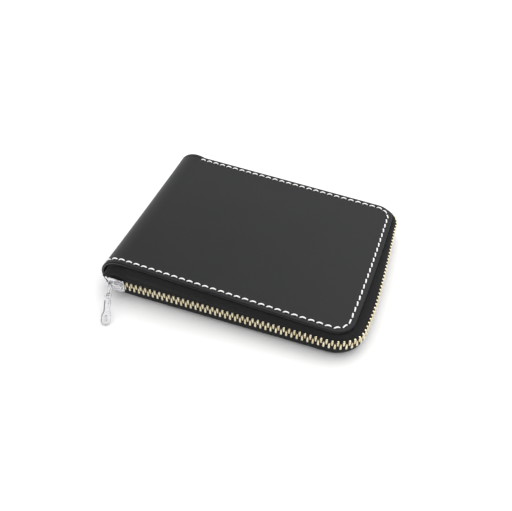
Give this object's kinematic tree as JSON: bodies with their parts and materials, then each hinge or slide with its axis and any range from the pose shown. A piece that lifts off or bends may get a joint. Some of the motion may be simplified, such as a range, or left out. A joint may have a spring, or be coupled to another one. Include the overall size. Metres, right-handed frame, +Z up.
{
  "type": "zip around wallet",
  "caption": "Compact leather wallet closed by a metal zip round three sides, with a rounded spine, card pockets and a zipped coin pocket inside.",
  "frame": {"origin": "on the table under the middle of the lower cover", "axes": "+X from the spine to the opposite side, +Y to the back edge, +Z up from the table"},
  "size_m": [0.1218, 0.1172, 0.0193],
  "materials": {
    "cover_leather": "smooth semi-matte full-grain leather, black",
    "pocket_leather": "thin matte lining leather, black",
    "lining_cloth": "black twill lining",
    "zip_tape": "black woven polyester zip tape",
    "teeth_metal": "polished pale gold plating",
    "nickel": "bright nickel plating",
    "coil_nylon": "black nylon coil"
  },
  "bodies": {
    "lower_half": {"lower_cover": "cover_leather", "lower_lining": "lining_cloth", "lower_zip_tape": "zip_tape", "lower_teeth": "teeth_metal", "lower_top_stop": "nickel", "bottom_stop": "nickel", "lower_slip_pocket": "pocket_leather", "coin_pocket_lining": "lining_cloth", "coin_pocket_front": "pocket_leather", "coin_pocket_back": "pocket_leather", "coin_tape_front": "zip_tape", "coin_tape_back": "zip_tape", "coin_coil": "coil_nylon", "coin_stop_spine_side": "nickel", "coin_stop_far_side": "nickel"},
    "spine": {"spine_leather": "cover_leather", "spine_lining": "lining_cloth"},
    "upper_half": {"upper_cover": "cover_leather", "upper_lining": "lining_cloth", "upper_zip_tape": "zip_tape", "upper_teeth": "teeth_metal", "upper_top_stop": "nickel", "upper_slip_pocket": "pocket_leather", "card_pocket_1": "pocket_leather", "card_pocket_2": "pocket_leather", "card_pocket_3": "pocket_leather", "card_pocket_4": "pocket_leather"},
    "zip_slider": {"slider_body": "nickel", "slider_back_plate": "nickel"},
    "pull_link": {"pull_link": "nickel"},
    "pull_bar": {"pull_bar": "nickel"},
    "coin_slider": {"coin_slider": "nickel", "coin_pull": "nickel"}
  },
  "joints": [
    {"name": "lower_fold", "type": "hinge", "parent": "lower_half", "child": "spine", "pos_m": [-0.05719, 0, 0.00231], "axis": [0, -1, 0], "range_deg": [0, 90]},
    {"name": "upper_fold", "type": "hinge", "parent": "spine", "child": "upper_half", "pos_m": [-0.05719, 0, 0.01749], "axis": [0, -1, 0], "range_deg": [0, 93.19]},
    {"name": "slider_travel", "type": "slide", "parent": "lower_half", "child": "zip_slider", "axis": [1, 0, 0], "range_m": [0, 0.09]},
    {"name": "link_swing", "type": "hinge", "parent": "zip_slider", "child": "pull_link", "pos_m": [-0.0511, -0.05195, 0.0082], "axis": [-1, 0, 0], "range_deg": [0, 90]},
    {"name": "pull_turn", "type": "hinge", "parent": "pull_link", "child": "pull_bar", "pos_m": [-0.0511, -0.05574, 0.0064], "axis": [0, -0.4293, 0.9032], "range_deg": [-80, 60]},
    {"name": "coin_slider_travel", "type": "slide", "parent": "lower_half", "child": "coin_slider", "axis": [1, 0, 0], "range_m": [0, 0.075]}
  ],
  "couplings": [
    {"joint": "upper_fold", "follows": "lower_fold", "ratio": 1.0354}
  ]
}
